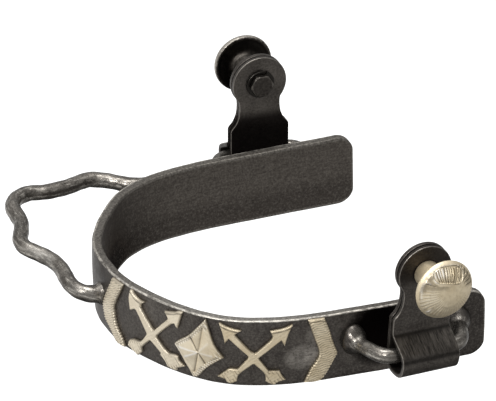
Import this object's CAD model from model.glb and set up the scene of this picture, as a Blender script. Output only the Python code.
import bpy, math
import numpy as np
from mathutils import Matrix, Vector, geometry


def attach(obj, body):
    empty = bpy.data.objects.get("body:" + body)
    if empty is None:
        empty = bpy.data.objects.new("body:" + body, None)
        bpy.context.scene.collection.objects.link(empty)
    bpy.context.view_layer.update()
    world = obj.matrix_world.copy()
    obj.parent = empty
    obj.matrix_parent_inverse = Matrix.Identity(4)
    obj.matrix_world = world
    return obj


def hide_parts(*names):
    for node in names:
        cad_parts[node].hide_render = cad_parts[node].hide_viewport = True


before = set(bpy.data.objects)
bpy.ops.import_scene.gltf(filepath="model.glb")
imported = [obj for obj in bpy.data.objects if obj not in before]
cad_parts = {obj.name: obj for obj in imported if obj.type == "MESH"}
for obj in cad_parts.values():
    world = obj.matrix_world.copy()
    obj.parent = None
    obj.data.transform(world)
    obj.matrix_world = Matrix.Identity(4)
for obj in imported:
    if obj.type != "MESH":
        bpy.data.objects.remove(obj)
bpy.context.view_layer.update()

# ---------------- dimensions, millimetres, as in the CAD ----------------
OX = 1.95
BAND_H, BAND_T, CROWN, TAPER = 19.55, 2.5, 0.3, 0.7
BAND_L, INNER_SHORT, BAND_END_R, EDGE_R = 88.6, 1.2, 4.6, 0.6
ROD_R, WIRE_R = 2.0, 2.0
STAPLE_X = {"outer": (51.4, 80.8), "inner": (50.2, 79.6)}
STAPLE_Z, PIVOT_Y = 11.7, 58.8
STRAP_T, HANGER_W, HEAD_R, HEAD_Q, WAIST = 1.2, 16.5, 7.6, 23.0, 11.4
BUTTON_R = {"outer": 8.15, "inner": 8.05}
POST_R, POST_L, HEX_AF, HEX_H = 3.2, 9.2, 5.8, 1.3
P_IN = -4.3
P_OUT = P_IN + 2 * STRAP_T + 0.4
WASH_T = 0.6
OVER_T = 0.95
HANG = {
    "outer": dict(x=66.1, side=-1, yaw=5.5, lean=4.3, tilt=1.5, cock=4.5),
    "inner": dict(x=64.5, side=1, yaw=0.0, lean=0.0, tilt=0.0, cock=0.0),
}
rng = np.random.default_rng(11)


# ---------------- small tools ----------------
def catmull(P, n=40):
    """Centripetal Catmull-Rom through P."""
    P = np.asarray(P, float)
    out, N = [], len(P)
    for i in range(N - 1):
        p0 = P[i - 1] if i > 0 else P[0] * 2 - P[1]
        p1, p2 = P[i], P[i + 1]
        p3 = P[i + 2] if i + 2 < N else P[-1] * 2 - P[-2]
        d0, d1, d2 = (np.linalg.norm(b - a) ** 0.5 for a, b in ((p0, p1), (p1, p2), (p2, p3)))
        t1 = ((p1 - p0) / d0 - (p2 - p0) / (d0 + d1) + (p2 - p1) / d1) * d1
        t2 = ((p2 - p1) / d1 - (p3 - p1) / (d1 + d2) + (p3 - p2) / d2) * d1
        for t in np.linspace(0, 1, n, endpoint=False):
            out.append(p1 + t1 * t + (-3 * p1 + 3 * p2 - 2 * t1 - t2) * t * t + (2 * p1 - 2 * p2 + t1 + t2) * t ** 3)
    out.append(P[-1])
    return np.array(out)


def resample(C, step=None, n=None):
    d = np.linalg.norm(np.diff(C, axis=0), axis=1)
    L = np.concatenate([[0], np.cumsum(d)])
    n = n or max(2, int(round(L[-1] / step)) + 1)
    t = np.linspace(0, L[-1], n)
    return np.stack([np.interp(t, L, C[:, k]) for k in range(C.shape[1])], 1), t


def add_mesh(name, verts, faces, attrs=None, angle=35, co=None):
    """verts in object-frame millimetres, already shifted by the caller only for the heel origin."""
    me = bpy.data.meshes.new(name)
    v = np.asarray(verts, float).copy()
    v[:, 0] -= OX
    v *= 0.001
    me.from_pydata([tuple(p) for p in v], [], [tuple(int(i) for i in f) for f in faces])
    me.update()
    me.validate()
    for k, a in (attrs or {}).items():
        at = me.attributes.new(k, "FLOAT", "POINT")
        at.data.foreach_set("value", np.asarray(a, np.float32))
    if co is not None:
        at = me.attributes.new("co", "FLOAT_VECTOR", "POINT")
        at.data.foreach_set("vector", np.asarray(co, np.float32).ravel())
    me.shade_smooth()
    me.set_sharp_from_angle(angle=math.radians(angle))
    o = bpy.data.objects.new(name, me)
    bpy.context.scene.collection.objects.link(o)
    return o


def grid(nu, nv, close_v=False, flip=False, base=0):
    f = []
    for i in range(nu - 1):
        for j in range(nv if close_v else nv - 1):
            a, b = base + i * nv + j, base + i * nv + (j + 1) % nv
            c, d = base + (i + 1) * nv + (j + 1) % nv, base + (i + 1) * nv + j
            f.append((a, d, c, b) if flip else (a, b, c, d))
    return f


def outward(o):
    import bmesh
    bm = bmesh.new()
    bm.from_mesh(o.data)
    bmesh.ops.recalc_face_normals(bm, faces=bm.faces)
    bm.to_mesh(o.data)
    bm.free()
    return o


def smooth01(x):
    x = np.clip(x, 0, 1)
    return x * x * (3 - 2 * x)


# ---------------- band surface: s along the outer face from the heel, z up, d outward ----------------
FULL = [(-0.05, 5), (0.6, 10), (2.0, 15), (4.5, 20.3), (7.4, 25.2), (10.5, 29.4), (13.8, 33.6)]
HALF = [(0, 0), (0.35, 5), (1.3, 10), (3.0, 15), (5.3, 20.3), (7.8, 25.2), (10.4, 29.4), (13.6, 33.6), (17.8, 37.6),
        (22.4, 40.6), (27.2, 42.7), (32.3, 44.2), (38.0, 45.2), (43.5, 45.8), (50, 46.1), (60, 46.4), (70, 46.6), (80, 46.8), (BAND_L, 47.0)]
plan = np.array([(x, y) for x, y in (FULL + HALF[8:])[::-1]] + [(x, -y) for x, y in HALF], float)
PC = catmull(plan, 40)
PL = np.concatenate([[0], np.cumsum(np.hypot(*np.diff(PC, axis=0).T))])
heel_i = int(np.argmin(np.abs(PC[:, 1]) + (PC[:, 0] > 20) * 100))
PL -= PL[heel_i]
PT = np.gradient(PC, axis=0)
PT /= np.hypot(PT[:, 0], PT[:, 1])[:, None]


def lean(z):
    return -TAPER * (1 - z / BAND_H)


def crown(z):
    return CROWN * np.clip(1 - ((z - BAND_H / 2) / (BAND_H / 2)) ** 2, 0, 1) ** 0.9


def surf(s, z, d):
    """point at (s, z) with offset d from the rim line (the crown is not included)."""
    s, z, d = np.broadcast_arrays(np.asarray(s, float), np.asarray(z, float), np.asarray(d, float))
    x, y = np.interp(s, PL, PC[:, 0]), np.interp(s, PL, PC[:, 1])
    tx, ty = np.interp(s, PL, PT[:, 0]), np.interp(s, PL, PT[:, 1])
    o = d + lean(z)
    return np.stack([x + o * ty, y - o * tx, z], -1)


# ---------------- heel band ----------------
def make_band():
    e, H, T = 0.42, BAND_H, BAND_T
    loop = []  # z, d, rim, inner
    loop.extend((z, float(crown(z)), 0.0, 0.0) for z in np.concatenate([[e], np.linspace(1.3, H - 1.3, 26), [H - e]]))
    for a in np.linspace(0, 90, 6)[1:]:
        a = math.radians(a)
        loop.append((H - e + e * math.sin(a), -e + e * math.cos(a) + 0.04 * math.cos(a), 1.0, 0.0))
    loop.extend((H, d, 0.5, 0.3) for d in np.linspace(-e, -T + e, 5)[1:-1])
    for a in np.linspace(0, 90, 6):
        a = math.radians(a)
        loop.append((H - e + e * math.cos(a), -T + e - e * math.sin(a), 0.55, 0.6))
    loop.extend((z, -T, 0.0, 1.0) for z in np.linspace(H - 1.2, 1.2, 24))
    for a in np.linspace(0, 90, 6):
        a = math.radians(a)
        loop.append((e - e * math.sin(a), -T + e - e * math.cos(a), 0.6, 1.0))
    loop.extend((0.0, d, 0.5, 0.3) for d in np.linspace(-T + e, -e, 5)[1:-1])
    for a in np.linspace(0, 90, 6)[:-1]:
        a = math.radians(a)
        loop.append((e - e * math.cos(a), -e + e * math.sin(a), 0.7, 0.0))
    loop = np.array(loop)
    s_lo = float(np.interp(-(BAND_L - INNER_SHORT), -PC[:heel_i, 0], PL[:heel_i]))
    s_hi = PL[-1]
    end = np.concatenate([[0, 0.06, 0.16, 0.3, 0.5], np.arange(0.75, 6.0, 0.3)])
    st = np.unique(np.concatenate([s_lo + end, np.arange(s_lo + 6, s_hi - 6, 0.8), s_hi - end]))
    R = BAND_END_R
    V, A, CO = [], [], []
    for s in st:
        t = min(s - s_lo, s_hi - s)
        q = R - math.sqrt(max(R * R - max(R - t, 0) ** 2, 0))
        k = 1 - math.sqrt(max(1 - max(1 - t / 0.5, 0) ** 2, 0))
        q = max(q, 0) + 0.0
        z = q + (loop[:, 0] / H) * (H - 2 * q)
        mid = -T / 2
        d = mid + (loop[:, 1] - mid) * (1 - 0.42 * k)
        wob = 0.035 * np.sin(s * 0.31 + 0.4 * np.sin(s * 0.13)) + 0.02 * np.sin(s * 0.83 + loop[:, 0] * 0.2)
        V.append(surf(s, z, d + wob * (1 - k)))
        rim = np.maximum(loop[:, 2], smooth01(1 - t / 0.9))
        A.append(np.stack([rim, loop[:, 3]], 1))
        CO.append(np.stack([np.full(len(z), s), z, loop[:, 1]], 1))
    V, A, CO = np.concatenate(V), np.concatenate(A), np.concatenate(CO)
    n = len(loop)
    F = grid(len(st), n, close_v=True)
    F.append(tuple(range(n)))
    F.append(tuple(reversed(range((len(st) - 1) * n, len(st) * n))))
    o = add_mesh("band_skin", V, F, {"rim": A[:, 0], "inner": A[:, 1]}, 50, CO)
    return outward(o)


# ---------------- silver overlays ----------------
OUT = {
    "chevron_rear": [[6.2, 19.3], [11.0, 19.3], [10.2, 17.6], [6.9, 11.6], [6.5, 9.9], [7.6, 5.4], [9.7, 2.9], [10.9, 0.6], [7.2, 0.6], [4.6, 2.9], [1.4, 4.8], [0.4, 8.3], [0.9, 10.1], [4.8, 16.6]],
    "crossed_arrows_rear": [[14.05, 19.3], [14.7, 19.2], [15.7, 18.3], [17.3, 17.7], [19.4, 17.6], [18.1, 16.4], [18.1, 15.5], [22.4, 10.7], [22.9, 10.7], [27.8, 16.0], [27.6, 16.5],
        [26.5, 17.8], [29.7, 18.6], [30.9, 19.2], [32.4, 19.3], [31.9, 18.0], [30.7, 14.0], [29.9, 15.2], [28.8, 14.6], [23.8, 9.4], [23.6, 8.8], [27.3, 5.7], [29.4, 5.8], [30.8, 5.6],
        [31.1, 4.4], [32.9, 3.2], [30.3, 1.9], [30.1, 1.1], [29.1, 1.0], [27.2, 1.3], [26.4, 2.7], [24.8, 4.1], [25.1, 4.8], [22.2, 6.8], [21.4, 7.1], [17.8, 3.5], [17.9, 2.0],
        [16.4, 0.5], [14.3, 1.3], [12.6, 2.1], [13.4, 4.0], [14.6, 4.7], [17.7, 5.4], [20.3, 8.6], [20.2, 9.0], [16.7, 14.1], [16.1, 14.4], [14.2, 13.3], [13.7, 16.7]],
    "crossed_arrows_front": [[42.7, 18.8], [45.4, 17.7], [48.6, 17.1], [46.9, 15.8], [51.0, 11.1], [52.1, 10.5], [52.6, 10.9], [56.2, 14.5], [56.6, 15.5], [55.9, 17.0], [59.5, 17.6],
        [61.8, 18.5], [60.6, 15.6], [59.7, 12.4], [58.8, 14.1], [53.2, 9.2], [53.0, 9.0], [55.7, 5.1], [58.5, 5.0], [59.0, 3.7], [60.1, 2.1], [58.0, 1.5], [57.0, 0.6],
        [55.9, 1.2], [54.8, 1.9], [54.6, 4.1], [51.9, 7.2], [51.5, 7.2], [47.9, 3.8], [47.3, 1.7], [45.8, 0.9], [44.7, 1.2], [44.3, 2.2], [42.1, 2.6], [44.2, 4.5], [45.3, 5.4],
        [47.5, 5.5], [50.3, 9.1], [50.3, 9.6], [45.4, 14.4], [44.3, 12.9], [43.7, 15.8]],
    "diamond": [[39.1, 19.2], [40.2, 15.6], [41.7, 11.6], [44.0, 8.5], [41.2, 6.3], [38.8, 4.0], [36.6, 1.3], [35.4, 0.9], [33.4, 4.2], [31.7, 6.8], [29.8, 9.4], [30.9, 10.6], [34.1, 13.1], [36.6, 16.0]],
    "chevron_front": [[65.85, 19.3], [70.3, 19.3], [71.7, 15.4], [72.4, 12.7], [73.9, 8.5], [72.1, 4.9], [69.9, 1.2], [68.2, 0.5], [64.9, 0.6], [66.7, 4.5], [68.9, 8.5], [67.7, 13.5]],
}
# corners that stay sharp when an outline is softened
STAR = (37.0, 8.8)
RAYS = [(34.6, 12.9), (38.2, 16.6), (40.0, 12.4), (41.2, 8.7), (39.0, 5.5), (35.6, 2.4), (32.8, 6.4), (31.3, 9.1)]


def soften(poly, step=0.16):
    """Points along the outline; shallow corners are rounded, sharp ones kept."""
    P = np.array(poly, float)
    n = len(P)
    out = []
    for i in range(n):
        a, b, c, d = P[i - 1], P[i], P[(i + 1) % n], P[(i + 2) % n]
        L = np.linalg.norm(c - b)

        def turn(u, v, w):
            e1, e2 = v - u, w - v
            return abs(math.atan2(e1[0] * e2[1] - e1[1] * e2[0], e1 @ e2))
        tb = (c - a) if turn(a, b, c) < 0.75 else (c - b)
        tc = (d - b) if turn(b, c, d) < 0.75 else (c - b)
        tb = tb / np.linalg.norm(tb) * L
        tc = tc / np.linalg.norm(tc) * L
        m = max(1, int(round(L / step)))
        for k in range(m):
            t = k / m
            h = ((2 * t ** 3 - 3 * t * t + 1) * b + (t ** 3 - 2 * t * t + t) * tb + (-2 * t ** 3 + 3 * t * t) * c + (t ** 3 - t * t) * tc)
            out.append(h)
    return np.array(out)


def seg_dist(Q, A, B):
    """least distance from each point of Q to the segments A-B."""
    best = np.full(len(Q), 1e9)
    for a, b in zip(A, B):
        ab = b - a
        t = np.clip(((Q - a) @ ab) / max(ab @ ab, 1e-12), 0, 1)
        best = np.minimum(best, np.linalg.norm(Q - (a + t[:, None] * ab), axis=1))
    return best


def inside(Q, P):
    r = np.zeros(len(Q), bool)
    x, y = Q[:, 0], Q[:, 1]
    for i in range(len(P)):
        (x1, y1), (x2, y2) = P[i - 1], P[i]
        if y1 == y2:
            continue
        k = ((y1 > y) != (y2 > y)) & (x < (x2 - x1) * (y - y1) / (y2 - y1) + x1)
        r ^= k
    return r


def engrave(name, Q, dist, B):
    """height change in mm, tarnish 0..1 and polish 0..1 at points Q (s, z) of an overlay."""
    s, z = Q[:, 0], Q[:, 1]
    h, dark, light = np.zeros(len(Q)), np.zeros(len(Q)), np.zeros(len(Q))
    vd = np.full(len(Q), 9.0)          # distance straight up to the outline
    for k in range(14, 0, -1):
        vd = np.where(inside(Q + [0, 0.08 * k], B), vd, 0.08 * k)
    if name == "diamond":
        c = np.array(STAR)
        for i, e in enumerate(RAYS):
            e = np.array(e)
            u = (e - c) / np.linalg.norm(e - c)
            L = np.linalg.norm(e - c)
            al = (Q - c) @ u
            pe = (Q - c) @ np.array([-u[1], u[0]])
            w = (0.16 + 0.20 * np.clip(al / L, 0, 1)) * (1.35 if i in (0, 4) else 1.0)
            k = np.exp(-(pe / w) ** 2) * smooth01(al / 0.5) * smooth01((L + 0.2 - al) / 0.5)
            strong = (1.0, 0.7, 0.0, 0.0, 1.0, 0.9, 0.0, 0.0)[i]
            h -= 0.24 * k * strong
            light = np.maximum(light, k * (0.0, 0.0, 0.35, 0.55, 0.0, 0.0, 0.9, 0.9)[i])
            dark = np.maximum(dark, 0.95 * strong * k * np.exp(-(pe / (w * 0.7)) ** 2))
            # facet between rays, alternately raised
        ang = np.arctan2(z - c[1], s - c[0])
        rr = np.hypot(z - c[1], s - c[0])
        # facets of the star: valleys at the long dark cuts, ridges between
        marks = []
        for i, e in enumerate(RAYS):
            marks.append((math.atan2(e[1] - c[1], e[0] - c[0]), 0.0 if i in (0, 1, 4, 5) else 1.0))
        marks.sort()
        full = []
        for i, (a0, v0) in enumerate(marks):
            a1, v1 = marks[(i + 1) % len(marks)]
            if a1 < a0:
                a1 += 2 * math.pi
            full.append((a0, v0))
            if v0 == 0.0 and v1 == 0.0:
                full.append(((a0 + a1) / 2, 0.9))
        xs = np.array([f[0] for f in full] + [full[0][0] + 2 * math.pi])
        ys = np.array([f[1] for f in full] + [full[0][1]])
        an = np.where(ang < xs[0], ang + 2 * math.pi, ang)
        h += 0.50 * (np.interp(an, xs, ys) - 0.5) * smooth01(rr / 3.2) * smooth01((dist - 0.7) / 0.6)
        q = np.abs((s - 37.0) * -0.72 + (z - 9.0) * 0.69)
        side = smooth01((q - 2.4) / 1.4)
        rope = smooth01((1.30 - dist) / 0.15) * smooth01((dist - 0.08) / 0.1) * (0.15 + 0.85 * side)
        ph = np.sin((s * 0.74 + z * 0.68) * 2 * math.pi / 0.80 + 1.2 * np.sign(dist - 0.68))
        h -= 0.12 * rope * np.clip(ph, 0, 1)
        dark = np.maximum(dark, 0.48 * rope * np.clip(ph, 0, 1))
        light = np.maximum(light, 0.70 * rope * np.clip(-ph, 0, 1))
        line = np.exp(-((dist - 0.68) / 0.08) ** 2) * side * smooth01((z - s + 26.5) / 2.0)
        h -= 0.05 * line
        dark = np.maximum(dark, 0.50 * line)
    elif name.startswith("chevron"):
        slope = 0.20 if name == "chevron_front" else 0.50
        wob = 0.12 * np.sin(s * 1.7 + z * 0.9)
        ph = np.sin((z - slope * s + wob) * 2 * math.pi / 0.68)
        broken = 0.5 + 0.5 * np.sin(s * 2.3 + np.floor((z - slope * s) / 0.68) * 2.1)
        k = np.clip(ph, 0, 1) ** 1.2 * (0.55 + 0.45 * broken) * (1.0 if name == "chevron_front" else 0.75) * smooth01((dist - 0.25) / 0.25)
        h -= 0.11 * k
        dark = np.maximum(dark, 0.62 * k)
        tick = smooth01((0.85 - dist) / 0.2) * np.clip(np.sin((z - slope * s) * 2 * math.pi / 0.80), 0, 1)
        h -= 0.15 * tick
        dark = np.maximum(dark, 0.55 * tick)
        bar = np.exp(-((z - 18.55) / 0.13) ** 2) * (1.0 if name == "chevron_front" else 0.0)
        h -= 0.16 * bar
        dark = np.maximum(dark, 0.95 * bar)
    else:
        # shafts keep a flat crown; the heads carry a dark cut just under their upper edges
        topl = smooth01((z - 14.6) / 1.2)
        c2 = np.exp(-((vd - 0.66) / 0.20) ** 2) * topl * (0.82 + 0.18 * np.sin(s * 2.3))
        h -= 0.04 * c2
        dark = np.maximum(dark, 0.95 * c2)
        # fletches: short slanting cuts from the edge inwards
        low = smooth01((5.4 - z) / 1.0)
        ph = np.clip(np.sin((s * 0.9 + z * 0.55) * 2 * math.pi / 0.95), 0, 1) ** 1.5
        fl = low * ph * smooth01((dist - 0.12) / 0.12) * smooth01((1.25 - dist) / 0.5)
        h -= 0.12 * fl
        dark = np.maximum(dark, 0.50 * fl)
        ph = np.sin((s * 0.55 - z * 0.85) * 2 * math.pi / 0.9)
        h -= 0.03 * smooth01((dist - 0.55) / 0.3) * (0.5 + 0.5 * ph)
    dark = np.maximum(dark, 0.52 * smooth01((0.46 - vd) / 0.28))
    return h, dark, light * (1 - dark)


def make_overlay(name, spacing=0.17):
    B = soften(OUT[name])
    if name.startswith("chevron"):
        # filed, serrated edges
        nrm = np.roll(B, -1, 0) - np.roll(B, 1, 0)
        nrm = np.stack([nrm[:, 1], -nrm[:, 0]], 1) / np.maximum(np.linalg.norm(nrm, axis=1), 1e-9)[:, None]
        ca = np.linalg.norm(B - np.roll(B, 1, 0), axis=1).cumsum()
        amp = 0.11 * smooth01((18.7 - B[:, 1]) / 0.5) * smooth01((B[:, 1] - 1.2) / 0.5)
        B = B + nrm * (amp * np.sin(ca * 2 * math.pi / 0.8))[:, None]
    lo, hi = B.min(0), B.max(0)
    g = []
    rows = int((hi[1] - lo[1]) / (spacing * 0.87)) + 2
    for j in range(rows):
        xs = np.arange(lo[0] + (spacing / 2 if j % 2 else 0), hi[0], spacing)
        g.append(np.stack([xs, np.full(len(xs), lo[1] + j * spacing * 0.87)], 1))
    G = np.concatenate(g)
    G = G[inside(G, B)]
    dG = seg_dist(G, B, np.roll(B, -1, 0))
    keep = dG > 0.075
    G, dG = G[keep], dG[keep]
    P = np.concatenate([B, G])
    dist = np.concatenate([np.zeros(len(B)), dG])
    nB = len(B)
    edges = [(i, (i + 1) % nB) for i in range(nB)]
    vo, eo, fo, ov, oe, of_ = geometry.delaunay_2d_cdt([Vector(p) for p in P], edges, [tuple(range(nB))], 1, 1e-6)
    vo = np.array([tuple(v) for v in vo])
    if len(vo) != len(P):
        dist = seg_dist(vo, B, np.roll(B, -1, 0))
    else:
        order = [o[0] if len(o) else -1 for o in ov]
        dist = np.array([dist[i] if i >= 0 else 0 for i in order])
    bw, he = 0.34, 0.55 * OVER_T
    prof = np.clip(dist / bw, 0, 1)
    h = he + (OVER_T - he) * np.sqrt(np.clip(1 - (1 - prof) ** 2, 0, 1))
    eh, dark, light = engrave(name, vo, dist, B)
    h = h + eh * smooth01(dist / 0.2)
    s, z = vo[:, 0], vo[:, 1]
    top = surf(s, z, crown(z) + 0.12 + h)
    nV = len(top)
    # boundary edges of the triangulation give the side wall
    cnt = {}
    for f in fo:
        for i in range(len(f)):
            e = (f[i], f[(i + 1) % len(f)])
            cnt[e] = cnt.get(e, 0) + 1
    border = [e for e in cnt if (e[1], e[0]) not in cnt]
    bi = sorted({i for e in border for i in e})
    m = {i: nV + k for k, i in enumerate(bi)}
    low = surf(s[bi], z[bi], crown(z[bi]) - 0.02)
    V = np.concatenate([top, low])
    F = [tuple(f) for f in fo] + [(e[1], e[0], m[e[0]], m[e[1]]) for e in border]
    edge = np.concatenate([smooth01(1 - dist / 0.34), np.zeros(len(bi))])
    dk = np.concatenate([dark, np.ones(len(bi))])
    co = np.concatenate([np.stack([s, z, h], 1), np.stack([s[bi], z[bi], 0 * s[bi]], 1)])
    o = add_mesh(name + "_silver", V, F, {"edge": edge, "dark": dk, "light": np.concatenate([light, np.zeros(len(bi))])}, 60, co)
    return outward(o)


# ---------------- rods ----------------
def tube(path, radii, nseg=28, squash=None, wave=0.0, step=None):
    """Round bar along path; radii per point; squash = (n,2) scale of the section in its own plane's up and across."""
    P = np.asarray(path, float)
    T = np.gradient(P, axis=0)
    T /= np.linalg.norm(T, axis=1)[:, None]
    U = np.array([0, 0, 1.0])
    V, CO = [], []
    L = np.concatenate([[0], np.cumsum(np.linalg.norm(np.diff(P, axis=0), axis=1))])
    a = np.linspace(0, 2 * math.pi, nseg, endpoint=False)
    for i in range(len(P)):
        t = T[i]
        up = U - (U @ t) * t
        up /= np.linalg.norm(up)
        side = np.cross(t, up)
        r = radii[i]
        sq = squash[i] if squash is not None else (1.0, 1.0)
        rr = r * (1 + wave * np.sin(L[i] * 0.55 + 1.3 * np.sin(a + L[i] * 0.11)) + 0.6 * wave * np.sin(L[i] * 1.7 + 2 * a))
        V.append(P[i] + (rr * np.cos(a) * sq[0])[:, None] * up + (rr * np.sin(a) * sq[1])[:, None] * side)
        CO.append(np.stack([np.full(nseg, L[i]), a * r, np.full(nseg, r)], 1))
    n = len(P)
    V = np.concatenate(V + [P[:1], P[-1:]])
    CO = np.concatenate(CO + [CO[0][:1], CO[-1][:1]])
    F = grid(n, nseg, close_v=True)
    F += [((j + 1) % nseg, j, n * nseg) for j in range(nseg)]
    F += [((n - 1) * nseg + j, (n - 1) * nseg + (j + 1) % nseg, n * nseg + 1) for j in range(nseg)]
    return V, F, CO


BUMPER = [[1.4, 3.2, 9.2], [0.1, 3.2, 9.3], [-2.4, 3.1, 9.6], [-4.4, 3.8, 10.0], [-5.9, 5.3, 10.4], [-6.7, 8.3, 10.7],
  [-6.6, 11.9, 11.0], [-6.4, 15.7, 11.3], [-6.9, 19.1, 11.6], [-7.9, 21.8, 11.8], [-9.3, 23.9, 12.1], [-10.8, 25.9, 12.4],
  [-12.1, 28.2, 12.7], [-12.0, 31.9, 13.0], [-10.3, 36.0, 13.2], [-8.9, 40.1, 13.4], [-8.7, 43.9, 13.7], [-8.4, 47.7, 14.0],
  [-6.5, 51.3, 14.1], [-3.7, 53.2, 14.0], [-1.1, 53.9, 13.9], [1.4, 53.8, 13.6], [3.8, 53.8, 13.4], [6.4, 54.2, 13.3],
  [9.0, 54.9, 13.1], [11.7, 55.8, 13.0], [14.4, 56.9, 12.8], [17.0, 57.4, 12.7], [19.3, 57.0, 12.4], [21.4, 56.1, 12.2],
  [23.4, 54.9, 11.9], [25.5, 53.6, 11.6], [28.7, 52.2, 11.3], [32.5, 52.1, 11.0], [36.2, 52.0, 10.7], [39.1, 51.2, 10.4],
  [40.7, 49.7, 10.1], [41.7, 47.9, 9.85], [42.1, 45.7, 9.6], [42.2, 44.4, 9.6]]


def make_bumper():
    C, t = resample(catmull(np.array(BUMPER) + [0, 0, 0.5], 12), step=0.45)
    L = t[-1]
    # buried ends: 1.2 mm at the heel, about 1.6 mm at the arm
    a, b = t - 1.35, (L - t) - 1.4
    r = np.full(len(t), ROD_R * 1.05) + 0.30 * np.exp(-(np.clip(a, 0, 40) / 5.0) ** 2)
    r = r + 0.75 * np.exp(-np.clip(a, 0, 9) ** 2 / 1.1) + 1.15 * np.exp(-np.clip(b, 0, 9) ** 2 / 1.3)
    r = np.where(a < 0, 2.95, np.where(b < 0, 3.1, r))
    keep = (a > -0.9) & (b > -0.9)
    V, F, CO = tube(C[keep], r[keep], 30, None, 0.022)
    return outward(add_mesh("bumper_rod", V, F, None, 50, CO))


def make_staple(which):
    side = -1 if which == "outer" else 1
    xa, xb = STAPLE_X[which]
    corner = [(-0.4, 44.5), (0, 46.5), (0.5, 49.3), (1.6, 52.8), (3.1, 56.4), (4.7, 58.2), (6.4, PIVOT_Y - 0.02), (9.4, PIVOT_Y)]
    p = [(xa + x, y) for x, y in corner] + [((xa + xb) / 2, PIVOT_Y)] + [(xb - x, y) for x, y in reversed(corner)]
    P = np.array([(x, side * y, STAPLE_Z) for x, y in p])
    C, t = resample(catmull(P, 14), step=0.35)
    L = t[-1]
    g = np.minimum(t, L - t) - 2.1      # distance out from the band face along the leg
    kn = np.array([-2, -0.3, 0.3, 1.0, 1.9, 2.7, 3.4, 4.1, 5.0, 6.2, 8, 200])
    rv = np.array([3.0, 3.25, 3.42, 3.40, 3.15, 2.7, 2.22, 1.95, 1.92, 1.98, 2.0, 2.0])
    r = np.interp(g, kn, rv)
    sq = np.stack([1 + 0.24 * smooth01((3.2 - g) / 3.0), np.ones(len(g))], 1)
    keep = g > -1.6
    V, F, CO = tube(C[keep], r[keep], 30, sq[keep], 0.018)
    return outward(add_mesh("staple_%s_wire" % which, V, F, None, 50, CO))


# ---------------- hangers ----------------
def mat_rot(axis, deg):
    return np.array(Matrix.Rotation(math.radians(deg), 4, axis))


def mat_tr(x, y, z):
    m = np.eye(4)
    m[:3, 3] = (x, y, z)
    return m


def place(h, screw=False):
    m = mat_tr(h["x"], h["side"] * PIVOT_Y, STAPLE_Z) @ mat_rot("Z", h["yaw"]) @ mat_rot("Y", h["tilt"]) @ mat_rot("X", -h["side"] * h["lean"])
    if screw:
        m = m @ mat_tr(0, h["side"] * P_OUT, HEAD_Q) @ mat_rot("X", h["side"] * h["cock"]) @ mat_tr(0, -h["side"] * P_OUT, -HEAD_Q)
    return m


def apply(m, V):
    V = np.asarray(V, float)
    return V @ m[:3, :3].T + m[:3, 3]


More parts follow.
